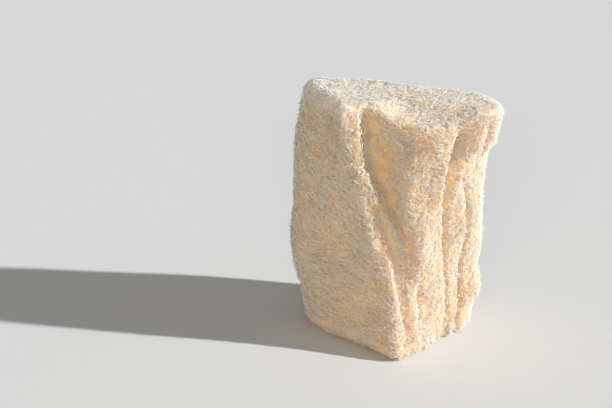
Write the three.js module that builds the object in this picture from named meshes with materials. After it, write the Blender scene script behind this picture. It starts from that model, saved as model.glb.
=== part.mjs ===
// A natural loofah sponge: one dried gourd skeleton, cut to a hand-long piece that stands on its cut end.
// Its folds are pressed into a smooth form, and its raised net of fibres is relief on that form.
// Millimetres, +Z up, the origin at the middle of the foot.
import * as THREE from "three";

// Overall height, and how round its two cut ends are
const HEIGHT = 140;
const FOOT_ROUND = 6;
const RIM_ROUND = 5.5;

// The front of the top end hangs lower than its back
const SINK = {
  depth: 8,
  from: 100,
  startY: -12,
  endY: -34,
  left: -20,
  leftFade: 20,
  right: 58,
  rightFade: 38,
};

// The outline at five heights: ten corners, from the front ridge round by the right, the back and the left
const LEVELS = [
  {
    z: 0,
    corners: [
      [6, -38], [12, -31], [19, -23], [33, -7], [45, 9],
      [39, 38], [5, 54], [-30, 42], [-47, 18], [-17, -22],
    ],
  },
  {
    z: 35,
    corners: [
      [-3, -32], [5, -29], [14, -24], [29, -10], [46, 7],
      [42, 36], [6, 56], [-34, 46], [-54.5, 20], [-18, -22],
    ],
  },
  {
    z: 70,
    corners: [
      [-12, -32], [-3, -32], [11, -34], [25, -24], [46.5, -4],
      [45, 28], [8, 51], [-36, 45], [-55, 20], [-23, -22],
    ],
  },
  {
    z: 105,
    corners: [
      [-25, -31.5], [-16, -31.5], [13, -35.5], [26, -30], [46, -12],
      [46, 18], [8, 40], [-34, 43], [-54, 22], [-33, -18],
    ],
  },
  {
    z: 140,
    corners: [
      [-30, -21], [-21, -22.5], [14, -37], [31, -34], [49, -25],
      [48, -3], [9, 19], [-27, 34], [-45, 32], [-38, -8],
    ],
  },
];
const CORNERS = LEVELS[0].corners.length;
const RIGHT_CORNER = 4;

// The folds of the front. Each list goes by height: x is where the fold is deepest, depth how far it is
// pressed in, and left and right how far its two walls reach. A left wall is steep and a right one gentle.
const FOLDS = {
  mainValley: {
    x: [
      [56, 9.5], [65, 6], [70, 2.5], [79, -1.5], [84, -5], [93, -8.5],
      [101, -12.5], [108, -15.5], [132, -18.5],
    ],
    depth: [
      [50, 0], [60, 1.5], [68, 4.5], [76, 7], [84, 9], [105, 12.5], [122, 12], [133, 7], [139, 0],
    ],
    left: [[56, 3]],
    right: [[56, 6], [70, 7.5], [84, 11.5], [93, 14.5], [105, 20.5], [120, 25], [133, 20]],
  },
  frontCrease: {
    x: [[10, 7], [21, 5.5], [35, 2], [46, -0.5], [61, -3], [70, -6], [84, -10]],
    depth: [[6, 0], [21, 2.5], [46, 3.5], [70, 3], [84, 0]],
    left: [[10, 2.5]],
    right: [[10, 6]],
  },
  secondFold: {
    x: [[0, 30], [14, 30.5], [38, 28], [60, 27], [88, 25], [104, 26], [118, 29], [130, 31.5]],
    depth: [[0, 3], [14, 4], [30, 2.5], [84, 3], [100, 6], [112, 9], [125, 7], [137, 1]],
    left: [[90, 3], [134, 4]],
    right: [[0, 2.5], [86, 3], [98, 7], [106, 12], [125, 13], [137, 8]],
  },
  thirdFold: {
    x: [[10, 36], [19, 38], [47, 38], [62, 39], [74, 38.8], [89, 37.6], [96, 35]],
    depth: [[0, 3], [12, 5.5], [26, 5.5], [36, 2.5], [74, 3], [90, 2.5], [100, 0]],
    left: [[0, 3], [96, 4]],
    right: [[0, 3.5], [36, 2.5], [96, 3]],
  },
  lipGroove: {
    x: [[112, 43], [136, 45]],
    depth: [[108, 0], [118, 2], [130, 2], [138, 0]],
    left: [[112, 4]],
    right: [[112, 4]],
  },
  smallDimple: {
    x: [[22, 14], [42, 12.5]],
    depth: [[22, 0], [30, 2.5], [36, 2.5], [44, 0]],
    left: [[22, 3]],
    right: [[22, 4]],
  },
};

// The lip that overhangs on the right under the rim, and the small bulge near the foot below it
const LIP = { out: 4, z: 109, fade: 8, reach: 16 };
const BULGE = { out: 4.5, z: 24, tall: 9, along: 2, reach: 8 };

// Slow waves all over, as [size in millimetres, waves round, millimetres of height to a radian, phase]
const WAVES = [[0.7, 5, 13, 0], [0.5, 8, -9, 1]];

// The net: how far apart the middles of its holes are, how deep the holes are and how unevenly they lie, and
// the share of the foot that is left flat to rest on
const CELL = 5.7;
const FOOT_CELL = 9;
const HOLE_DEPTH = { least: 1.8, most: 2.8 };
const UNEVEN = 0.32;
const FLAT_SPOT = 0.45;
const SEED = 16;

// How finely the form is worked out before the net is laid on it
const ROUND_STEPS = 360;
const ROW_STEP = 1.5;
const ROUNDING_ROWS = 8;

function smooth(t) {
  const x = THREE.MathUtils.clamp(t, 0, 1);
  return x * x * (3 - 2 * x);
}

function byHeight(list, z) {
  if (z <= list[0][0]) {
    return list[0][1];
  }
  for (let i = 1; i < list.length; i += 1) {
    const [z0, v0] = list[i - 1];
    const [z1, v1] = list[i];
    if (z <= z1) {
      return v0 + ((v1 - v0) * (z - z0)) / (z1 - z0);
    }
  }
  return list[list.length - 1][1];
}

function hermite(p0, p1, m0, m1, t) {
  const t2 = t * t;
  const t3 = t2 * t;
  return (2 * t3 - 3 * t2 + 1) * p0 + (t3 - 2 * t2 + t) * m0 + (3 * t2 - 2 * t3) * p1 + (t3 - t2) * m1;
}

// How the corner moves with height at a level: the slope through its two neighbours, weighted by distance
function slopeAt(level, corner, axis) {
  const value = (i) => LEVELS[i].corners[corner][axis];
  const gap = (i) => LEVELS[i + 1].z - LEVELS[i].z;
  const rise = (i) => (value(i + 1) - value(i)) / gap(i);
  if (level === 0) {
    return rise(0);
  }
  if (level === LEVELS.length - 1) {
    return rise(level - 1);
  }
  const below = gap(level - 1);
  const above = gap(level);
  return (rise(level) * below + rise(level - 1) * above) / (below + above);
}

function cornersAt(z) {
  let low = 0;
  while (low < LEVELS.length - 2 && z > LEVELS[low + 1].z) {
    low += 1;
  }
  const span = LEVELS[low + 1].z - LEVELS[low].z;
  const t = (z - LEVELS[low].z) / span;
  return LEVELS[low].corners.map((from, corner) => {
    const to = LEVELS[low + 1].corners[corner];
    const slope = (level, axis) => slopeAt(level, corner, axis) * span;
    const along = (axis) => hermite(from[axis], to[axis], slope(low, axis), slope(low + 1, axis), t);
    return new THREE.Vector2(along(0), along(1));
  });
}

// A closed curve through the corners, its tangents weighted by the chords so that it never loops
function outlineAt(z) {
  const corners = cornersAt(z);
  const at = (i) => corners[(i + CORNERS) % CORNERS];
  const chord = corners.map((p, i) => at(i + 1).distanceTo(p));
  const slope = corners.map((p, i) => at(i + 1).clone().sub(p).divideScalar(chord[i]));
  const tangent = corners.map((p, i) => {
    const before = (i + CORNERS - 1) % CORNERS;
    const mixed = slope[i].clone().multiplyScalar(chord[before]).addScaledVector(slope[before], chord[i]);
    return mixed.divideScalar(chord[before] + chord[i]);
  });
  const points = [];
  for (let k = 0; k < ROUND_STEPS; k += 1) {
    const place = (k * CORNERS) / ROUND_STEPS;
    const i = Math.floor(place);
    const j = (i + 1) % CORNERS;
    const t = place - i;
    const pull = (corner, axis) => tangent[corner][axis] * chord[i];
    const along = (axis) => hermite(corners[i][axis], corners[j][axis], pull(i, axis), pull(j, axis), t);
    points.push(new THREE.Vector2(along("x"), along("y")));
  }
  return points;
}

// Lengths round the outline from its first point, and the whole length last
function lengthsOf(points) {
  const lengths = [0];
  points.forEach((p, k) => {
    lengths.push(lengths[k] + p.distanceTo(points[(k + 1) % points.length]));
  });
  return lengths;
}

// Where the front of the outline, from the left panel to the right corner, reaches a given x
function lengthAtX(points, lengths, x) {
  const total = lengths[ROUND_STEPS];
  const first = -ROUND_STEPS / CORNERS;
  const last = (RIGHT_CORNER * ROUND_STEPS) / CORNERS;
  for (let k = first; k < last; k += 1) {
    const a = points[(k + ROUND_STEPS) % ROUND_STEPS];
    const b = points[(k + 1 + ROUND_STEPS) % ROUND_STEPS];
    if (b.x >= x) {
      const share = THREE.MathUtils.clamp((x - a.x) / (b.x - a.x), 0, 1);
      const start = k < 0 ? lengths[k + ROUND_STEPS] - total : lengths[k];
      return start + share * a.distanceTo(b);
    }
  }
  return lengths[last];
}

// How far a cut end's rounding draws the outline in, a given height from that end
function roundingAt(height, radius) {
  const left = Math.max(0, radius - height);
  return radius - Math.sqrt(radius * radius - left * left);
}

// The outline at a height, with its folds, lip, bulge, waves and rounded ends
function loopAt(z) {
  const points = outlineAt(z);
  const lengths = lengthsOf(points);
  const total = lengths[ROUND_STEPS];
  const apart = (k, from) => {
    const d = lengths[k] - from;
    return d - total * Math.round(d / total);
  };
  const folds = Object.values(FOLDS).map((fold) => ({
    from: lengthAtX(points, lengths, byHeight(fold.x, z)),
    depth: byHeight(fold.depth, z),
    left: byHeight(fold.left, z),
    right: byHeight(fold.right, z),
  }));
  const cornerLength = lengths[(RIGHT_CORNER * ROUND_STEPS) / CORNERS];
  const lip = LIP.out * smooth((z - LIP.z) / LIP.fade);
  const bulge = BULGE.out * Math.exp(-(((z - BULGE.z) / BULGE.tall) ** 2));
  const drawnIn = roundingAt(z, FOOT_ROUND) + roundingAt(HEIGHT - z, RIM_ROUND);
  return points.map((p, k) => {
    const next = points[(k + 1) % ROUND_STEPS];
    const before = points[(k + ROUND_STEPS - 1) % ROUND_STEPS];
    const tangent = next.clone().sub(before).normalize();
    const outward = new THREE.Vector2(tangent.y, -tangent.x);
    const fromCorner = apart(k, cornerLength);
    let push = lip * Math.exp(-((fromCorner / LIP.reach) ** 2)) - drawnIn;
    push += bulge * Math.exp(-(((fromCorner - BULGE.along) / BULGE.reach) ** 2));
    for (const fold of folds) {
      const d = apart(k, fold.from);
      push -= fold.depth * smooth(1 - (d < 0 ? -d / fold.left : d / fold.right));
    }
    for (const [size, waves, pitch, phase] of WAVES) {
      push -= size * Math.sin((waves * 2 * Math.PI * k) / ROUND_STEPS + z / pitch + phase);
    }
    return sunk(new THREE.Vector3(p.x + outward.x * push, p.y + outward.y * push, z));
  });
}

function sunk(p) {
  const forward = smooth((SINK.startY - p.y) / (SINK.startY - SINK.endY));
  const across = smooth((p.x - SINK.left) / SINK.leftFade) * smooth((SINK.right - p.x) / SINK.rightFade);
  const high = smooth((p.z - SINK.from) / (HEIGHT - SINK.from));
  p.z -= SINK.depth * forward * across * high;
  return p;
}

function middleOf(loop) {
  const sum = loop.reduce((total, p) => total.add(p), new THREE.Vector3());
  return sum.divideScalar(loop.length);
}

// Loops that shrink from a cut end's edge to its middle
function endLoops(edge) {
  const middle = middleOf(edge);
  const reach = Math.max(...edge.map((p) => p.distanceTo(middle)));
  const count = Math.ceil(reach / ROW_STEP);
  const loops = [];
  for (let i = 1; i <= count; i += 1) {
    const share = 1 - i / count;
    loops.push(edge.map((p) => p.clone().sub(middle).multiplyScalar(share).add(middle)));
  }
  return loops;
}

// All loops from the middle of the foot to the middle of the top, and how far along each one lies
function formRows() {
  const heights = [];
  const wallRows = Math.round((HEIGHT - FOOT_ROUND - RIM_ROUND) / ROW_STEP);
  for (let i = 0; i < ROUNDING_ROWS; i += 1) {
    heights.push(FOOT_ROUND * (1 - Math.cos((i * Math.PI) / 2 / ROUNDING_ROWS)));
  }
  for (let i = 0; i <= wallRows; i += 1) {
    heights.push(FOOT_ROUND + (i * (HEIGHT - FOOT_ROUND - RIM_ROUND)) / wallRows);
  }
  for (let i = ROUNDING_ROWS - 1; i >= 0; i -= 1) {
    heights.push(HEIGHT - RIM_ROUND * (1 - Math.cos((i * Math.PI) / 2 / ROUNDING_ROWS)));
  }
  const wall = heights.map(loopAt);
  const foot = endLoops(wall[0]).reverse();
  const top = endLoops(wall[wall.length - 1]);
  const loops = [...foot, ...wall, ...top];
  const along = [0];
  for (let i = 1; i < loops.length; i += 1) {
    const steps = loops[i].map((p, k) => p.distanceTo(loops[i - 1][k]));
    along.push(along[i - 1] + steps.reduce((a, b) => a + b, 0) / steps.length);
  }
  return { loops, along, footEdge: along[foot.length] };
}

// A point of the form: place goes round from 0 to 1, and along from the middle of the foot to that of the top
function formPoint(form, place, along) {
  let row = 0;
  while (row < form.along.length - 2 && along > form.along[row + 1]) {
    row += 1;
  }
  const rise = (along - form.along[row]) / (form.along[row + 1] - form.along[row]);
  const steps = (((place % 1) + 1) % 1) * ROUND_STEPS;
  const k = Math.floor(steps) % ROUND_STEPS;
  const side = (loop) => loop[k].clone().lerp(loop[(k + 1) % ROUND_STEPS], steps - Math.floor(steps));
  return side(form.loops[row]).lerp(side(form.loops[row + 1]), THREE.MathUtils.clamp(rise, 0, 1));
}

function randomFrom(seed) {
  let state = seed;
  return () => {
    state = (state + 0x6d2b79f5) | 0;
    let t = Math.imul(state ^ (state >>> 15), 1 | state);
    t = (t + Math.imul(t ^ (t >>> 7), 61 | t)) ^ t;
    return ((t ^ (t >>> 14)) >>> 0) / 4294967296;
  };
}

// A ring of hole middles, spaced evenly round the form and then moved a little at random
function ringOfHoles(form, along, cell, spread, draw) {
  const loop = [];
  for (let k = 0; k <= ROUND_STEPS; k += 1) {
    loop.push(formPoint(form, k / ROUND_STEPS, along));
  }
  const lengths = [0];
  for (let k = 1; k <= ROUND_STEPS; k += 1) {
    lengths.push(lengths[k - 1] + loop[k].distanceTo(loop[k - 1]));
  }
  const total = lengths[ROUND_STEPS];
  const count = Math.max(6, Math.round(total / cell));
  const start = draw();
  const holes = [];
  let k = 0;
  for (let i = 0; i < count; i += 1) {
    const wanted = ((i + start + UNEVEN * (draw() - 0.5)) / count) * total;
    const length = THREE.MathUtils.clamp(wanted, 0, total * 0.9999);
    while (lengths[k + 1] <= length) {
      k += 1;
    }
    while (lengths[k] > length) {
      k -= 1;
    }
    const share = (length - lengths[k]) / (lengths[k + 1] - lengths[k]);
    holes.push({ place: (k + share) / ROUND_STEPS, along: along + spread * (draw() - 0.5) });
  }
  return holes;
}

// Rings of hole middles from the flat spot under the foot up to the top
function holeRings(form, draw) {
  const last = form.along[form.along.length - 1];
  const rings = [[{ place: 0, along: 0, pole: true }]];
  let along = form.footEdge * FLAT_SPOT;
  rings.push(ringOfHoles(form, along, FOOT_CELL, 0, draw));
  while (along < last - CELL) {
    const cell = along < form.footEdge ? FOOT_CELL : CELL;
    along += cell * Math.sqrt(0.75);
    rings.push(ringOfHoles(form, along, cell, cell * UNEVEN, draw));
  }
  rings.push([{ place: 0, along: last, pole: true }]);
  return rings;
}

// Triangles between two neighbouring rings, each step taken on the ring that lags behind
function stitch(low, high) {
  const placeOf = (ring, i) => ring[i % ring.length].place + Math.floor(i / ring.length);
  const triangles = [];
  if (low.length === 1 || high.length === 1) {
    const ring = low.length === 1 ? high : low;
    ring.forEach((hole, i) => {
      const next = ring[(i + 1) % ring.length];
      triangles.push(low.length === 1 ? [low[0], next, hole] : [hole, next, high[0]]);
    });
    return triangles;
  }
  let i = 0;
  let j = 0;
  while (i < low.length || j < high.length) {
    const lowNext = placeOf(low, i + 1);
    const highNext = placeOf(high, j + 1);
    const a = low[i % low.length];
    const b = high[j % high.length];
    if (j >= high.length || (i < low.length && lowNext <= highNext)) {
      triangles.push([a, low[(i + 1) % low.length], b]);
      i += 1;
    } else {
      triangles.push([a, high[(j + 1) % high.length], b]);
      j += 1;
    }
  }
  return triangles;
}

// The middle of three holes on the form, with their places unwrapped across the start of the round
function crossingOf(form, triangle) {
  const round = triangle.filter((hole) => !hole.pole);
  const first = round[0].place;
  const places = round.map((hole) => hole.place - Math.round(hole.place - first));
  const place = places.reduce((a, b) => a + b, 0) / places.length;
  const along = triangle.reduce((sum, hole) => sum + hole.along, 0) / triangle.length;
  return formPoint(form, place, along);
}

// The net as one closed body: its crossings lie on the form, its strands join them, and each hole is a pit
function loofahGeometry() {
  const draw = randomFrom(SEED);
  const form = formRows();
  const rings = holeRings(form, draw);
  const holes = rings.flat();
  holes.forEach((hole, index) => {
    hole.index = index;
    hole.point = formPoint(form, hole.place, hole.along);
    hole.normal = new THREE.Vector3();
  });
  const triangles = [];
  for (let i = 1; i < rings.length; i += 1) {
    triangles.push(...stitch(rings[i - 1], rings[i]));
  }
  for (const [a, b, c] of triangles) {
    const ab = b.point.clone().sub(a.point);
    const normal = ab.cross(c.point.clone().sub(a.point));
    [a, b, c].forEach((hole) => hole.normal.add(normal));
  }
  const flat = new Set([...rings[0], ...rings[1]]);
  const points = holes.map((hole) => {
    const depth = flat.has(hole) ? 0 : THREE.MathUtils.lerp(HOLE_DEPTH.least, HOLE_DEPTH.most, draw());
    return hole.point.clone().addScaledVector(hole.normal.normalize(), -depth);
  });
  const crossings = triangles.map((triangle) => points.push(crossingOf(form, triangle)) - 1);
  return netGeometry(points, triangles, crossings);
}

// Two faces for each pair of neighbouring holes, one falling from their strand into each hole
function netGeometry(points, triangles, crossings) {
  const sides = new Map();
  triangles.forEach((triangle, t) => {
    triangle.forEach((hole, i) => {
      sides.set(`${hole.index} ${triangle[(i + 1) % 3].index}`, crossings[t]);
    });
  });
  const faces = [];
  for (const [key, near] of sides) {
    const [a, b] = key.split(" ").map(Number);
    const far = sides.get(`${b} ${a}`);
    faces.push(a, far, near);
  }
  const geometry = new THREE.BufferGeometry();
  geometry.setAttribute("position", new THREE.Float32BufferAttribute(points.flatMap((p) => p.toArray()), 3));
  geometry.setIndex(faces);
  geometry.computeBoundingBox();
  const { min, max } = geometry.boundingBox;
  geometry.translate(-(min.x + max.x) / 2, -(min.y + max.y) / 2, -min.z);
  geometry.computeVertexNormals();
  return geometry;
}

const driedFibre = new THREE.MeshStandardMaterial({ color: 0xe8d6b8, roughness: 0.9, metalness: 0 });

const loofah = new THREE.Group();
const sponge = new THREE.Mesh(loofahGeometry(), driedFibre);
sponge.name = "loofah_sponge";
loofah.add(sponge);

export default loofah;
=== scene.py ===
import math

import bpy
import numpy as np
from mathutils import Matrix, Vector, noise
from mathutils.bvhtree import BVHTree


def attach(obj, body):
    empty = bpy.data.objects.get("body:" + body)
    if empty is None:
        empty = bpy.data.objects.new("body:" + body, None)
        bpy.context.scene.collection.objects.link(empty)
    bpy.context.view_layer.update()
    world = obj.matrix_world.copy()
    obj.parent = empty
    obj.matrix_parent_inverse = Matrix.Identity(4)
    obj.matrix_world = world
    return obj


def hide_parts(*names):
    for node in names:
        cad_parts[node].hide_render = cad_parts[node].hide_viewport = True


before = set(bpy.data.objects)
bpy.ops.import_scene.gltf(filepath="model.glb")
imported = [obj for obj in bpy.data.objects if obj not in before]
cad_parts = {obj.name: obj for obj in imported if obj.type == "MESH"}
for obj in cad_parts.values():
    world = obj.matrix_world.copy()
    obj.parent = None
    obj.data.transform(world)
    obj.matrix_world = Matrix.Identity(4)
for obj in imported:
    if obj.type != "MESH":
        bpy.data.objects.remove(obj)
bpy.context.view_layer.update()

NODE = "loofah_sponge"
MM = 0.001

# Overall height, and how round the two cut ends are
HEIGHT = 140.0
FOOT_ROUND = 6.0
RIM_ROUND = 5.5

# Where the middle of the frame's box lies in the design's own x and y
DESIGN_MIDDLE = (-1.40, 9.59)

# The front of the top end hangs lower than its back
SINK = {
    "depth": 8.0, "from": 100.0, "start_y": -12.0, "end_y": -34.0,
    "left": -20.0, "left_fade": 20.0, "right": 58.0, "right_fade": 38.0,
}

# The outline at five heights: ten corners, from the front ridge round by the right, the back and the left
LEVELS = (
    (0, ((6, -38), (12, -31), (19, -23), (33, -7), (45, 9),
         (39, 38), (5, 54), (-30, 42), (-47, 18), (-17, -22))),
    (35, ((-3, -32), (5, -29), (14, -24), (29, -10), (46, 7),
          (42, 36), (6, 56), (-34, 46), (-54.5, 20), (-18, -22))),
    (70, ((-12, -32), (-3, -32), (11, -34), (25, -24), (46.5, -4),
          (45, 28), (8, 51), (-36, 45), (-55, 20), (-23, -22))),
    (105, ((-25, -31.5), (-16, -31.5), (13, -35.5), (26, -30), (46, -12),
           (46, 18), (8, 40), (-34, 43), (-54, 22), (-33, -18))),
    (140, ((-30, -21), (-21, -22.5), (14, -37), (31, -34), (49, -25),
           (48, -3), (9, 19), (-27, 34), (-45, 32), (-38, -8))),
)
CORNERS = 10
RIGHT_CORNER = 4

# The folds of the front, by height: x where the fold is deepest, its depth, and the reach of its two walls
FOLDS = {
    "main valley": {
        "x": ((56, 9.5), (65, 6), (70, 2.5), (79, -1.5), (84, -5), (93, -8.5),
              (101, -12.5), (108, -15.5), (132, -18.5)),
        "depth": ((50, 0), (60, 1.5), (68, 4.5), (76, 7), (84, 9), (105, 12.5), (122, 12),
                  (133, 7), (139, 0)),
        "left": ((56, 3),),
        "right": ((56, 6), (70, 7.5), (84, 11.5), (93, 14.5), (105, 20.5), (120, 25), (133, 20)),
    },
    "front crease": {
        "x": ((10, 7), (21, 5.5), (35, 2), (46, -.5), (61, -3), (70, -6), (84, -10)),
        "depth": ((6, 0), (21, 2.5), (46, 3.5), (70, 3), (84, 0)),
        "left": ((10, 2.5),),
        "right": ((10, 6),),
    },
    "second fold": {
        "x": ((0, 30), (14, 30.5), (38, 28), (60, 27), (88, 25), (104, 26), (118, 29),
              (130, 31.5)),
        "depth": ((0, 3), (14, 4), (30, 2.5), (84, 3), (100, 6), (112, 9), (125, 7),
                  (137, 1)),
        "left": ((90, 3), (134, 4)),
        "right": ((0, 2.5), (86, 3), (98, 7), (106, 12), (125, 13), (137, 8)),
    },
    "third fold": {
        "x": ((10, 36), (19, 38), (47, 38), (62, 39), (74, 38.8), (89, 37.6), (96, 35)),
        "depth": ((0, 3), (12, 5.5), (26, 5.5), (36, 2.5), (74, 3), (90, 2.5), (100, 0)),
        "left": ((0, 3), (96, 4)),
        "right": ((0, 3.5), (36, 2.5), (96, 3)),
    },
    "lip groove": {
        "x": ((112, 43), (136, 45)),
        "depth": ((108, 0), (118, 2), (130, 2), (138, 0)),
        "left": ((112, 4),),
        "right": ((112, 4),),
    },
    "small dimple": {
        "x": ((22, 14), (42, 12.5)),
        "depth": ((22, 0), (30, 2.5), (36, 2.5), (44, 0)),
        "left": ((22, 3),),
        "right": ((22, 4),),
    },
}

# The lip that overhangs on the right under the rim, and the small bulge near the foot below it
LIP = {"out": 4.0, "z": 109.0, "fade": 8.0, "reach": 16.0}
BULGE = {"out": 4.5, "z": 24.0, "tall": 9.0, "along": 2.0, "reach": 8.0}

# Slow waves all over: size, waves round, height to a radian, phase
WAVES = ((0.7, 5, 13.0, 0.0), (0.5, 8, -9.0, 1.0))

# How finely the form and its mesh are worked out; points of the mesh nearer than the last are joined
ROUND_STEPS = 720
WALL_ROWS = 300
ROUNDING_ROWS = 10
END_ROWS = 60
MESH_ROUND = 280
MESH_ALONG = 160
SAME_POINT = 0.001

# The body: how far it lies under the mat, its least height over the floor, and its relief's sizes and widths
BODY_UNDER = 0.9
BODY_LOW = 0.3
RELIEF = ((0.6, 3.5), (0.4, 1.8))

# The left side is where a normal points left by this much; a wall is upright while it points up by less
LEFT_SIDE = {"from": 0.35, "fade": 0.3}
UPRIGHT = {"to": 0.6, "fade": 0.2}

# Where the fibre is painted golden, as painted warm shade and glow: in folds of this depth and more, and low
# on the left side, where fibres also sink
GOLD_DEPTH = 9.0
PAINTED_FOOT_GLOW = {"height": 10.0, "gold": 0.9, "sink": 0.7, "tone": 0.9}

# Where the top is painted paler, as painted light, and where the fibres there also lie calmer
PAINTED_TOP_LIGHT = {"from": 127.0, "fade": 12.0, "calm": 0.57, "tone": 0.5}

# The mat: its pieces, the fibres in each, the share left under the foot, and a fibre's points and sizes
MAT_PIECES = 5
FIBRES_A_PIECE = 4000
UNDER_SHARE = 0.4
FIBRE_POINTS = 8
STRIDE = 0.95
FIBRE_RADIUS = (0.13, 0.2)
END_RADIUS = 0.5
SIDES = 3
SEED = 23

# How a fibre curls, in radians to a step: its changing bend, its steady share of that, and what is kept
CURL = 0.65
STEADY_SHARE = 0.6
BEND_KEPT = 0.6

# On the left side most fibres run level and sway a little instead
LEVEL_SHARE = {"anywhere": 0.25, "left": 0.7}
LEVEL_SPREAD = 0.15
LEFT_CURL = 0.12
LEFT_SWAY = {"size": 0.5, "step": 1.6}

# How high a fibre lies over the form: its middle, its weave, the dip of its ends, and a loose end's rise
MIDDLE_HEIGHT = (-0.55, 0.35)
WEAVE = {"size": 0.25, "waves": (1.0, 2.2)}
END_DIP = 0.9
LOOSE_SHARE = 0.13
LOOSE_RISE = (1.0, 2.4)

# The small gaps where the mat is thin: their sizes, how far fibres sink in them, and how much golder they are
# painted there as painted shade
GAPS = {"size": (2.6, 2.6, 1.3), "from": 0.2, "fade": 0.2, "sink": 0.9, "tone": 0.35}

# A fibre's own tone, from 0 golden to 1 pale, how much paler it is in a fold, and the tones that are used
OWN_TONE = (0.12, 0.72)
FOLD_TONE = {"steep": 6.0, "tone": 0.25}
TONES = (0.03, 0.97)
TONE_ACROSS = 0.004

# The body's colours, from gap to fibre: the deep fibre's own gold, darkened towards the gap end as painted
# shade between fibres; and the curly lines on it: how fine, from where, how wide and strong
BODY_STOPS = ((0.3, (0.60, 0.35, 0.14)), (0.7, (0.76, 0.53, 0.28)))
# Painted warm shade and glow in the folds
PAINTED_FOLD_SHADE = (0.86, 0.585, 0.26, 1)
# Painted light on the top
PAINTED_TOP_CREAM = (0.97, 0.78, 0.53, 1)
LINE_CREAM = (0.90, 0.82, 0.72, 1)
BODY_LINES = ((350.0, 0.0, 0.03, 1.0), (430.0, 3.1, 0.03, 0.9), (520.0, 7.3, 0.035, 0.8))
BODY_PATCHES = 120.0
BODY_SQUEEZE = (1.0, 1.0, 2.0)

# The mat's colours by tone
MAT_STOPS = (
    (0.05, (0.80, 0.56, 0.28)), (0.3, (0.81, 0.66, 0.46)), (0.6, (0.90, 0.82, 0.72)),
    (0.9, (1.0, 0.87, 0.70)),
)

# The floor, in metres
FLOOR_SIZE = 8.0
FLOOR_GREY = (0.668, 0.675, 0.672, 1)

# The camera, from the design's own origin
CAMERA_AT = (-47.96, -737.21, 345.4)
CAMERA_DOWN = 20.0
CAMERA_LENS = 85.0

# The sun stands to the right and a little to the front, and a broad warm light fills in from low in front
SUN = {
    "height": 27.0, "travel": (-0.972, 0.233), "strength": 4.75, "spread": 1.7,
    "colour": (0.975, 0.98, 0.985),
}
FILL = {
    "height": 6.0, "travel": (0.1, 0.995), "strength": 2.6, "spread": 40.0,
    "colour": (1.0, 0.86, 0.69),
}

# The sky's strength by how high it is, from the horizon up, and its colour
SKY_LOW = 0.25
SKY_HIGH = 0.26
SKY_TOP = 0.8
SKY_COLOUR = (0.93, 0.97, 1.0, 1)


def smooth(t):
    """Rises gently from 0 to 1 as t does."""
    t = np.clip(t, 0, 1)
    return t * t * (3 - 2 * t)


def by_height(pairs, z):
    """The values at the heights of z, from pairs of a height and a value."""
    return np.interp(z, [p[0] for p in pairs], [p[1] for p in pairs])


def hermite(p0, p1, m0, m1, t):
    """A cubic from p0 to p1 that leaves with slope m0 and arrives with slope m1."""
    t2 = t * t
    t3 = t2 * t
    return (2 * t3 - 3 * t2 + 1) * p0 + (t3 - 2 * t2 + t) * m0 + (3 * t2 - 2 * t3) * p1 + (t3 - t2) * m1


def corners_at(z):
    """The ten corners at each height of z."""
    heights = np.array([level[0] for level in LEVELS], float)
    corners = np.array([level[1] for level in LEVELS], float)
    rise = np.diff(corners, axis=0) / np.diff(heights)[:, None, None]
    gap = np.diff(heights)[:, None, None]
    inner = (rise[1:] * gap[:-1] + rise[:-1] * gap[1:]) / (gap[1:] + gap[:-1])
    slopes = np.concatenate([rise[:1], inner, rise[-1:]])
    low = np.clip(np.searchsorted(heights, z) - 1, 0, len(heights) - 2)
    span = (heights[low + 1] - heights[low])[:, None, None]
    t = (z - heights[low])[:, None, None] / span
    return hermite(corners[low], corners[low + 1], slopes[low] * span, slopes[low + 1] * span, t)


def outlines_at(z):
    """Closed curves through the corners, their tangents weighted by the chords."""
    corners = corners_at(z)
    chord = np.roll(corners, -1, axis=1) - corners
    length = np.linalg.norm(chord, axis=2, keepdims=True)
    slope = chord / length
    before = np.roll(length, 1, axis=1)
    tangent = (slope * before + np.roll(slope, 1, axis=1) * length) / (before + length)
    place = np.arange(ROUND_STEPS) * CORNERS / ROUND_STEPS
    i = np.floor(place).astype(int)
    j = (i + 1) % CORNERS
    t = (place - i)[None, :, None]
    leaving = tangent[:, i] * length[:, i]
    arriving = tangent[:, j] * length[:, i]
    return hermite(corners[:, i], corners[:, j], leaving, arriving, t)


def length_at_x(points, lengths, total, x):
    """How far round the front of each outline reaches the given x."""
    steps = np.arange(-ROUND_STEPS // CORNERS, RIGHT_CORNER * ROUND_STEPS // CORNERS)
    xs = np.maximum.accumulate(points[:, steps, 0], axis=1)
    rounds = lengths[:, steps] - np.where(steps < 0, total, 0)
    return np.array([np.interp(at, row, along) for at, row, along in zip(x, xs, rounds)])[:, None]


def rounding_at(height, radius):
    """How far an edge of this radius pulls the wall in, at a height over the cut end."""
    left = np.maximum(0, radius - height)
    return radius - np.sqrt(radius * radius - left * left)


def apart(lengths, origin, total):
    """How far each point lies from an origin along a closed outline, less than half its length either way."""
    d = lengths - origin
    return d - total * np.round(d / total)


def bulged(rows, from_corner):
    """How far the lip and the small bulge stand out on the right."""
    high = smooth((rows - LIP["z"]) / LIP["fade"])
    lip = LIP["out"] * high * np.exp(-((from_corner / LIP["reach"]) ** 2))
    low = np.exp(-(((rows - BULGE["z"]) / BULGE["tall"]) ** 2))
    beside = (from_corner - BULGE["along"]) / BULGE["reach"]
    return lip + BULGE["out"] * low * np.exp(-(beside ** 2))


def folded_in(z, points, lengths, total):
    """How deep the folds are at each point."""
    folded = np.zeros_like(lengths)
    for fold in FOLDS.values():
        d = apart(lengths, length_at_x(points, lengths, total, by_height(fold["x"], z)), total)
        left = by_height(fold["left"], z)[:, None]
        right = by_height(fold["right"], z)[:, None]
        wall = smooth(1 - np.where(d < 0, -d / left, d / right))
        folded = folded + by_height(fold["depth"], z)[:, None] * wall
    return folded


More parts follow.
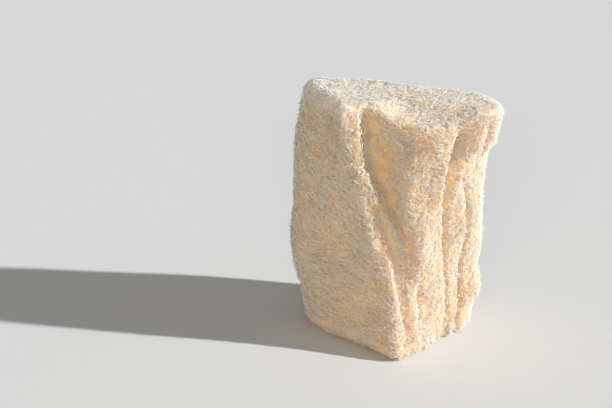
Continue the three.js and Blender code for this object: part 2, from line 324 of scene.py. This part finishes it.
def pressed(z, points):
    """How far each outline is pushed out or in all told, and how deep its folds are."""
    steps = np.linalg.norm(np.roll(points, -1, axis=1) - points, axis=2)
    total = steps.sum(axis=1, keepdims=True)
    lengths = np.cumsum(steps, axis=1) - steps
    rows = z[:, None]
    corner = lengths[:, [RIGHT_CORNER * ROUND_STEPS // CORNERS]]
    push = bulged(rows, apart(lengths, corner, total))
    push = push - rounding_at(rows, FOOT_ROUND) - rounding_at(HEIGHT - rows, RIM_ROUND)
    turn = 2 * math.pi * np.arange(ROUND_STEPS) / ROUND_STEPS
    for size, waves, pitch, phase in WAVES:
        push = push - size * np.sin(waves * turn + rows / pitch + phase)
    folded = folded_in(z, points, lengths, total)
    return push - folded, folded


def sunk(loops):
    """Lets the front of the top end hang lower than its back."""
    x, y, z = np.moveaxis(loops[..., :3], -1, 0)
    forward = smooth((SINK["start_y"] - y) / (SINK["start_y"] - SINK["end_y"]))
    across = smooth((x - SINK["left"]) / SINK["left_fade"])
    across = across * smooth((SINK["right"] - x) / SINK["right_fade"])
    high = smooth((z - SINK["from"]) / (HEIGHT - SINK["from"]))
    loops[..., 2] = z - SINK["depth"] * forward * across * high
    return loops


def wall_loops():
    """The loops of the wall; each point has x, y, z and how deep it lies in a fold."""
    arc = np.linspace(0, math.pi / 2, ROUNDING_ROWS, endpoint=False)
    foot = FOOT_ROUND * (1 - np.cos(arc))
    rim = HEIGHT - RIM_ROUND * (1 - np.cos(arc[::-1]))
    z = np.concatenate([foot, np.linspace(FOOT_ROUND, HEIGHT - RIM_ROUND, WALL_ROWS), rim])
    points = outlines_at(z)
    tangent = np.roll(points, -1, axis=1) - np.roll(points, 1, axis=1)
    tangent /= np.linalg.norm(tangent, axis=2, keepdims=True)
    outward = np.stack([tangent[..., 1], -tangent[..., 0]], axis=-1)
    push, folded = pressed(z, points)
    flat = points + outward * push[..., None]
    height = np.broadcast_to(z[:, None], push.shape)
    return sunk(np.concatenate([flat, height[..., None], folded[..., None]], axis=2))


def end_loops(edge):
    """Loops that shrink from a cut end's edge to its middle."""
    middle = edge.mean(axis=0)
    share = 1 - np.arange(1, END_ROWS + 1) / END_ROWS
    return middle + (edge - middle) * share[:, None, None]


def form_loops():
    """The whole form as loops from the middle of the foot to the middle of the top, in metres."""
    wall = wall_loops()
    loops = np.concatenate([end_loops(wall[0])[::-1], wall, end_loops(wall[-1])])
    loops[..., :2] -= DESIGN_MIDDLE
    loops[..., :3] *= MM
    return loops


def on_form(loops, place, along):
    """Points of the form: place and along both go from 0 to 1, round it and from foot to top."""
    steps = np.linalg.norm(np.diff(loops[..., :3], axis=0), axis=2).mean(axis=1)
    reach = np.concatenate([[0], np.cumsum(steps)])
    row = np.interp(along, reach / reach[-1], np.arange(len(reach)))
    low = np.minimum(row.astype(int), len(reach) - 2)
    rise = (row - low)[:, None]
    turn = (place % 1) * ROUND_STEPS
    k = turn.astype(int) % ROUND_STEPS
    share = (turn - np.floor(turn))[:, None]
    nearer = loops[low, k] * (1 - share) + loops[low, (k + 1) % ROUND_STEPS] * share
    farther = loops[low + 1, k] * (1 - share) + loops[low + 1, (k + 1) % ROUND_STEPS] * share
    return nearer * (1 - rise) + farther * rise


def deselect():
    bpy.ops.object.select_all(action="DESELECT")


def coordinates(mesh):
    found = np.empty(len(mesh.vertices) * 3)
    mesh.vertices.foreach_get("co", found)
    return found.reshape(-1, 3)


def leftward_of(normal_x):
    """From 0 to 1, how much a surface faces left."""
    return smooth((-normal_x - LEFT_SIDE["from"]) / LEFT_SIDE["fade"])


def foot_at(z, normal_x):
    """From 0 to 1, how near a point is to the foot of the left side, where a warm glow is painted."""
    return leftward_of(normal_x) * smooth(1 - z / MM / PAINTED_FOOT_GLOW["height"])


def painted_gold_at(z, folded, normal_x):
    """How golden points are painted: up to 1 in a fold or by the left foot, as painted shade and glow, and
    down to -1 at the top, as painted light.
    """
    gold = np.maximum(smooth(folded / GOLD_DEPTH), PAINTED_FOOT_GLOW["gold"] * foot_at(z, normal_x))
    return gold - smooth((z / MM - PAINTED_TOP_LIGHT["from"]) / PAINTED_TOP_LIGHT["fade"])


def join_doubles():
    """Joins what lies on one point of the active mesh."""
    bpy.ops.object.mode_set(mode="EDIT")
    bpy.ops.mesh.select_all(action="SELECT")
    bpy.ops.mesh.remove_doubles(threshold=SAME_POINT * MM)
    bpy.ops.object.mode_set(mode="OBJECT")


def make_form(loops):
    """A grid wrapped round the form, joined at its seam and in the middle of both ends."""
    deselect()
    bpy.ops.mesh.primitive_grid_add(x_subdivisions=MESH_ROUND, y_subdivisions=MESH_ALONG, size=1)
    form = bpy.context.object
    flat = coordinates(form.data) + 0.5
    laid = on_form(loops, flat[:, 0], np.clip(flat[:, 1], 0, 1))
    form.data.vertices.foreach_set("co", laid[:, :3].ravel())
    form.data.update()
    normals = np.empty(len(form.data.vertices) * 3)
    form.data.vertices.foreach_get("normal", normals)
    # How golden each point is painted: painted shade and glow in folds and by the left foot, painted light on
    # the top
    gold = painted_gold_at(laid[:, 2], laid[:, 3], normals[0::3])
    form.data.attributes.new("gold", "FLOAT", "POINT").data.foreach_set("value", gold)
    join_doubles()
    bpy.ops.object.shade_smooth()
    return form


def copy_of(source, name):
    copied = source.copy()
    copied.data = source.data.copy()
    copied.name = name
    bpy.context.collection.objects.link(copied)
    return copied


def add_relief(body):
    """Sinks the body under the mat, roughens it with noise at two sizes and keeps it off the floor."""
    deselect()
    body.select_set(True)
    bpy.context.view_layer.objects.active = body
    for i, (size, across) in enumerate(RELIEF):
        clouds = bpy.data.textures.new(f"relief {i}", "CLOUDS")
        clouds.noise_scale = across * MM
        clouds.noise_depth = 1
        push = body.modifiers.new(f"relief {i}", "DISPLACE")
        push.texture = clouds
        push.texture_coords = "LOCAL"
        push.strength = size * MM
        push.mid_level = 0.5 + (BODY_UNDER / size if i == 0 else 0)
        bpy.ops.object.modifier_apply(modifier=push.name)
    found = coordinates(body.data)
    found[:, 2] = np.maximum(found[:, 2], BODY_LOW * MM)
    body.data.vertices.foreach_set("co", found.ravel())
    body.data.update()


def painted_gold_of(mesh):
    """How golden each face of the mesh is painted, as painted shade, glow or light, by its first corner."""
    found = np.empty(len(mesh.vertices))
    mesh.attributes["gold"].data.foreach_get("value", found)
    first = np.empty(len(mesh.polygons), int)
    mesh.polygons.foreach_get("loop_start", first)
    corners = np.empty(len(mesh.loops), int)
    mesh.loops.foreach_get("vertex_index", corners)
    return found[corners[first]]


def seeds_on(mesh, count, draw):
    """Points spread over a mesh by area, fewer of them under the foot."""
    mesh.calc_loop_triangles()
    corners = np.empty(len(mesh.loop_triangles) * 3, int)
    mesh.loop_triangles.foreach_get("vertices", corners)
    a, b, c = np.moveaxis(coordinates(mesh)[corners.reshape(-1, 3)], 1, 0)
    weight = np.linalg.norm(np.cross(b - a, c - a), axis=1)
    weight[a[:, 2] < 0.5 * MM] *= UNDER_SHARE
    face = draw.choice(len(weight), count, p=weight / weight.sum())
    s, t = draw.random((2, count, 1))
    flip = s + t > 1
    s, t = np.where(flip, 1 - s, s), np.where(flip, 1 - t, t)
    return a[face] + (b[face] - a[face]) * s + (c[face] - a[face]) * t


def gaps_at(points):
    """Where the mat is thin, from 0 to 1: small gaps that are wider than they are tall."""
    scaled = points.reshape(-1, 3) / (np.array(GAPS["size"]) * MM)
    found = np.array([noise.noise(place) for place in scaled.tolist()])
    return smooth((found - GAPS["from"]) / GAPS["fade"]).reshape(points.shape[:-1])


def first_step(normal, turn):
    """A direction along the surface, turned by an angle from the level, or from y where that has none."""
    side = Vector((-normal.y, normal.x, 0))
    if side.length < 0.3:
        side = Vector((1, 0, 0)).cross(normal)
    side.normalize()
    return side * math.cos(turn) + normal.cross(side) * math.sin(turn)


def turned(ahead, normal, angle):
    """A direction laid on the surface and turned by an angle."""
    ahead = ahead - normal * ahead.dot(normal)
    ahead = ahead * math.cos(angle) + normal.cross(ahead) * math.sin(angle)
    return ahead.normalized()


def fibre_angles(bends, steady, phase, leftward):
    """How far a fibre turns at each of its points: a wandering curl, and on the left side a sway."""
    curl = 1 + (LEFT_CURL - 1) * leftward
    bend = 0
    angles = []
    for k, fresh in enumerate(bends):
        bend = BEND_KEPT * bend + fresh
        sway = LEFT_SWAY["size"] * leftward * math.cos(phase + LEFT_SWAY["step"] * k)
        angles.append((bend + steady) * curl + sway)
    return angles


def lay_fibres(tree, starts, draw):
    """Walks curly lines over the form: their points, the normals there and the faces they lie on."""
    count = len(starts)
    points = np.empty((count, FIBRE_POINTS, 3))
    normals = np.empty((count, FIBRE_POINTS, 3))
    faces = np.empty((count, FIBRE_POINTS), int)
    level = draw.normal(0, LEVEL_SPREAD, count)
    turns = draw.uniform(0, 2 * math.pi, count)
    luck = draw.random(count)
    bends = draw.normal(0, CURL, (count, FIBRE_POINTS))
    steady = draw.normal(0, CURL * STEADY_SHARE, count)
    for i, start in enumerate(starts):
        at, normal, face = tree.find_nearest(Vector(start))[:3]
        leftward = leftward_of(normal.x) * smooth((UPRIGHT["to"] - abs(normal.z)) / UPRIGHT["fade"])
        is_level = luck[i] < LEVEL_SHARE["anywhere"] + LEVEL_SHARE["left"] * leftward
        ahead = first_step(normal, level[i] if is_level else turns[i])
        for k, angle in enumerate(fibre_angles(bends[i], steady[i], turns[i], leftward)):
            points[i, k] = at
            normals[i, k] = normal
            faces[i, k] = face
            ahead = turned(ahead, normal, angle)
            at, normal, face = tree.find_nearest(at + ahead * (STRIDE * MM))[:3]
    return points, normals, faces


def fibre_heights(count, draw):
    """How high each point of each fibre lies: it rises out of the mat, weaves and dips back."""
    t = np.linspace(0, 1, FIBRE_POINTS)[None, :]
    middle = draw.uniform(*MIDDLE_HEIGHT, (count, 1))
    phase = draw.uniform(0, 2 * math.pi, (count, 1))
    waves = draw.uniform(*WEAVE["waves"], (count, 1))
    height = middle + WEAVE["size"] * np.sin(2 * math.pi * waves * t + phase)
    height -= END_DIP * np.abs(2 * t - 1) ** 4
    loose = draw.random(count) < LOOSE_SHARE
    height[loose] += (draw.uniform(*LOOSE_RISE, (count, 1)) * t ** 3)[loose]
    return height


def fibre_tones(centres, gold, foot, draw):
    """Tones from 0 golden to 1 pale: each fibre's own, and what its place adds or takes off: paler on the top
    as painted light, golder in gaps and by the left foot as painted shade and glow, and paler in folds.
    """
    own = draw.uniform(*OWN_TONE, (len(centres), 1))
    paler = PAINTED_TOP_LIGHT["tone"] * np.maximum(-gold, 0) + FOLD_TONE["tone"] * smooth(FOLD_TONE["steep"] * gold)
    # Golder in gaps, as painted shade, and by the left foot, as painted glow
    golder = np.where(gold < 0, 0, GAPS["tone"] * gaps_at(centres)) + PAINTED_FOOT_GLOW["tone"] * foot
    return np.clip(own + paler - golder, *TONES)


def tube_rings(centres, normals, radii):
    """Rings of points round each point of each fibre, narrower at its two ends."""
    ahead = np.gradient(centres, axis=1)
    ahead /= np.linalg.norm(ahead, axis=2, keepdims=True)
    side = np.cross(ahead, normals)
    side /= np.linalg.norm(side, axis=2, keepdims=True)
    up = np.cross(side, ahead)
    taper = np.ones(FIBRE_POINTS)
    taper[[0, -1]] = END_RADIUS
    size = (radii[:, None] * taper)[..., None, None]
    angle = np.arange(SIDES) * 2 * math.pi / SIDES + math.pi / 2
    ring = side[:, :, None] * np.cos(angle)[:, None] + up[:, :, None] * np.sin(angle)[:, None]
    return centres[:, :, None] + ring * size


def tube_faces(count):
    """The sides of all tubes and the caps at their ends, as numbers of their points."""
    first = np.arange(count)[:, None, None] * FIBRE_POINTS * SIDES
    k = np.arange(FIBRE_POINTS - 1)[None, :, None] * SIDES
    s = np.arange(SIDES)[None, None, :]
    a = first + k + s
    b = first + k + (s + 1) % SIDES
    quads = np.stack([a, a + SIDES, b + SIDES, b], axis=-1).reshape(-1, 4)
    start = first[:, 0] + np.arange(SIDES)
    end = first[:, 0] + (FIBRE_POINTS - 1) * SIDES + np.arange(SIDES)[::-1]
    return quads.tolist() + np.concatenate([start, end]).tolist()


def add_tone_map(mesh, tones, heights):
    """A map of the mesh that holds each fibre's tone and height, for its material to read."""
    shape = (*tones.shape, SIDES)
    high = (heights - heights.min()) / np.ptp(heights)
    u = tones[:, :, None] + TONE_ACROSS * np.arange(SIDES)
    v = np.broadcast_to(high[:, :, None], shape)
    uv = np.stack([u, v], axis=-1).reshape(-1, 2)
    corner = np.empty(len(mesh.loops), int)
    mesh.loops.foreach_get("vertex_index", corner)
    mesh.uv_layers.new(name="OFBake").uv.foreach_set("vector", uv[corner].ravel())


def make_mat(form, tree, face_painted_gold, index):
    """One piece of the mat: closed tubes along its share of the fibres, which lie all over the sponge."""
    draw = np.random.default_rng(SEED + index)
    starts = seeds_on(form.data, FIBRES_A_PIECE, draw)
    points, normals, faces = lay_fibres(tree, starts, draw)
    gold = face_painted_gold[faces]
    # Near the left foot the fibres sink and are painted golden as a painted glow
    foot = foot_at(points[..., 2], normals[..., 0])
    heights = fibre_heights(FIBRES_A_PIECE, draw) - GAPS["sink"] * gaps_at(points)
    heights = heights * (1 + PAINTED_TOP_LIGHT["calm"] * np.minimum(gold, 0)) - PAINTED_FOOT_GLOW["sink"] * foot
    centres = points + normals * heights[..., None] * MM
    radii = draw.uniform(*FIBRE_RADIUS, FIBRES_A_PIECE) * MM
    centres[..., 2] = np.maximum(centres[..., 2], radii.max())
    mesh = bpy.data.meshes.new(f"loofah_mat_{index + 1}")
    mesh.from_pydata(tube_rings(centres, normals, radii).reshape(-1, 3), [], tube_faces(FIBRES_A_PIECE))
    mesh.polygons.foreach_set("use_smooth", np.ones(len(mesh.polygons), bool))
    add_tone_map(mesh, fibre_tones(centres, gold, foot, draw), heights)
    mat = bpy.data.objects.new(mesh.name, mesh)
    bpy.context.collection.objects.link(mat)
    return mat


class Socket:
    """A value in a material's nodes that Python's arithmetic can work on."""

    def __init__(self, maker, link):
        self.maker = maker
        self.link = link

    def maths(self, operation, *values):
        return self.maker.node("ShaderNodeMath", {"operation": operation}, dict(enumerate(values)))

    def __add__(self, other):
        return self.maths("ADD", self, other)

    def __sub__(self, other):
        return self.maths("SUBTRACT", self, other)

    def __rsub__(self, other):
        return self.maths("SUBTRACT", other, self)

    def __mul__(self, other):
        return self.maths("MULTIPLY", self, other)

    def __truediv__(self, other):
        return self.maths("DIVIDE", self, other)

    def __abs__(self):
        return self.maths("ABSOLUTE", self)

    def over(self, other):
        """The larger of the two."""
        return self.maths("MAXIMUM", self, other)

    __radd__ = __add__
    __rmul__ = __mul__


class Material:
    """A material whose nodes are made by one method."""

    def __init__(self, name, **constants):
        self.material = bpy.data.materials.new(name)
        self.material.use_nodes = True
        self.tree = self.material.node_tree
        self.shader = self.tree.nodes["Principled BSDF"]
        for socket, value in constants.items():
            self.shader.inputs[socket.replace("_", " ")].default_value = value

    def node(self, kind, settings=(), inputs=(), output=0):
        """Adds a node with its settings and the values or links of its sockets, and gives one output."""
        node = self.tree.nodes.new(kind)
        for name, value in dict(settings).items():
            if name == "stops":
                self.set_stops(node.color_ramp, value)
            else:
                setattr(node, name, value)
        for name, value in dict(inputs).items():
            self.feed(node.inputs[name], value)
        return Socket(self, node.outputs[output])

    def set_stops(self, ramp, stops):
        while len(ramp.elements) < len(stops):
            ramp.elements.new(1)
        for element, (position, colour) in zip(ramp.elements, stops):
            element.position = position
            element.color = (*colour, 1)

    def feed(self, socket, value):
        if isinstance(value, Socket):
            self.tree.links.new(value.link, socket)
        else:
            socket.default_value = value

    def out(self, **inputs):
        for name, value in inputs.items():
            self.feed(self.shader.inputs[name.replace("_", " ")], value)


def curly_lines(m, place, scale, shift, width, strength):
    """Thin curving lines, where a noise passes through its middle value."""
    moved = m.node("ShaderNodeVectorMath", {"operation": "ADD"}, {0: place, 1: (shift, shift, shift)})
    field = m.node("ShaderNodeTexNoise", inputs={"Vector": moved, "Scale": scale, "Detail": 1.0})
    return (1 - abs(field - 0.5) / width).over(0) * strength


def mixed(m, share, first, second):
    """A colour between two others."""
    return m.node("ShaderNodeMix", {"data_type": "RGBA"}, {0: share, 6: first, 7: second}, output=2)


def body_material():
    """Golden fibre deep in the mat, with curly paler fibres on it; painted shade and glow make it golder and
    fade the lines in the folds, and painted light makes it cream on the top.
    """
    m = Material(
        "golden_deep_fibre", Roughness=0.8,
        Subsurface_Weight=1.0, Subsurface_Scale=0.008, Subsurface_Radius=(1.0, 0.8, 0.5),
    )
    place = m.node("ShaderNodeTexCoord", output="Object")
    flat = m.node("ShaderNodeMapping", inputs={"Vector": place, "Scale": BODY_SQUEEZE})
    coarse, fine, finest = [curly_lines(m, flat, *line) for line in BODY_LINES]
    lines = coarse.over(fine).over(finest)
    # Painted shade and glow make the folds golder and fade the lines there; painted light makes the top cream
    gold = m.node("ShaderNodeAttribute", {"attribute_name": "gold"}, output="Fac")
    patches = m.node("ShaderNodeTexNoise", inputs={"Vector": flat, "Scale": BODY_PATCHES, "Detail": 2.0})
    ground = m.node("ShaderNodeValToRGB", {"stops": BODY_STOPS}, {0: patches})
    ground = mixed(m, gold * 8, ground, PAINTED_FOLD_SHADE)
    ground = mixed(m, 0 - gold, ground, PAINTED_TOP_CREAM)
    colour = mixed(m, lines * (0.85 - gold * 0.3), ground, LINE_CREAM)
    raised = m.node("ShaderNodeBump", inputs={"Strength": 0.7, "Distance": 0.0004, "Height": lines})
    m.out(Base_Color=colour, Normal=raised)
    return m.material


def mat_material():
    """Cream fibre: the paler its own tone, the paler it is, and the lower it lies, the more golden it is
    painted, as painted shade deep in the mat.
    """
    m = Material(
        "cream_dried_fibre", Roughness=0.7,
        Subsurface_Weight=0.9, Subsurface_Scale=0.0012, Subsurface_Radius=(1.0, 0.8, 0.65),
    )
    place = m.node("ShaderNodeUVMap", {"uv_map": "OFBake"})
    tone = m.node("ShaderNodeSeparateXYZ", inputs={0: place}, output="X")
    height = m.node("ShaderNodeSeparateXYZ", inputs={0: place}, output="Y")
    # Lower fibres more golden: painted shade deep in the mat
    colour = m.node("ShaderNodeValToRGB", {"stops": MAT_STOPS}, {0: tone * 0.7 + height * 0.3})
    m.out(Base_Color=colour)
    return m.material


def dress(piece, material):
    """Gives a piece its one material and says what it rides on and replaces."""
    piece.data.materials.clear()
    piece.data.materials.append(material)
    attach(piece, "root")
    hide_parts(NODE)


def add_floor():
    bpy.ops.mesh.primitive_plane_add(size=FLOOR_SIZE, location=(0, 0, 0))
    floor = bpy.context.object
    floor.name = "floor"
    m = Material("pale_floor", Roughness=0.9, Base_Color=FLOOR_GREY)
    floor.data.materials.append(m.material)


def add_lamp(height, travel, strength, spread, colour):
    """A far light that comes from a height above the floor, in degrees, and travels in x and y."""
    up = math.radians(height)
    direction = Vector((travel[0] * math.cos(up), travel[1] * math.cos(up), -math.sin(up)))
    bpy.ops.object.light_add(type="SUN", location=(1, 0, 1))
    lamp = bpy.context.object
    lamp.rotation_euler = direction.to_track_quat("-Z", "Y").to_euler()
    lamp.data.energy = strength
    lamp.data.angle = math.radians(spread)
    lamp.data.color = colour


def add_sky():
    """Soft daylight, a little stronger overhead."""
    world = bpy.data.worlds.new("soft daylight")
    world.use_nodes = True
    bpy.context.scene.world = world
    nodes = world.node_tree.nodes
    links = world.node_tree.links
    place = nodes.new("ShaderNodeTexCoord")
    height = nodes.new("ShaderNodeSeparateXYZ")
    fade = nodes.new("ShaderNodeMapRange")
    fade.inputs["From Max"].default_value = SKY_TOP
    fade.inputs["To Min"].default_value = SKY_LOW
    fade.inputs["To Max"].default_value = SKY_HIGH
    links.new(place.outputs["Generated"], height.inputs[0])
    links.new(height.outputs["Z"], fade.inputs["Value"])
    links.new(fade.outputs["Result"], nodes["Background"].inputs["Strength"])
    nodes["Background"].inputs["Color"].default_value = SKY_COLOUR


def add_camera():
    x, y, z = CAMERA_AT
    at = Vector((x - DESIGN_MIDDLE[0], y - DESIGN_MIDDLE[1], z)) * MM
    bpy.ops.object.camera_add(location=at, rotation=(math.radians(90 - CAMERA_DOWN), 0, 0))
    camera = bpy.context.object
    camera.data.lens = CAMERA_LENS
    bpy.context.scene.camera = camera


def main():
    form = make_form(form_loops())
    body = copy_of(form, "loofah_body")
    add_relief(body)
    dress(body, body_material())
    fibre = mat_material()
    tree = BVHTree.FromObject(form, bpy.context.evaluated_depsgraph_get())
    # How golden each face is painted, as painted shade, glow and top light
    gold = painted_gold_of(form.data)
    for index in range(MAT_PIECES):
        dress(make_mat(form, tree, gold, index), fibre)
    bpy.data.objects.remove(form)
    add_floor()
    add_lamp(**SUN)
    add_lamp(**FILL)
    add_sky()
    add_camera()
    bpy.context.scene.view_settings.view_transform = "Standard"


main()
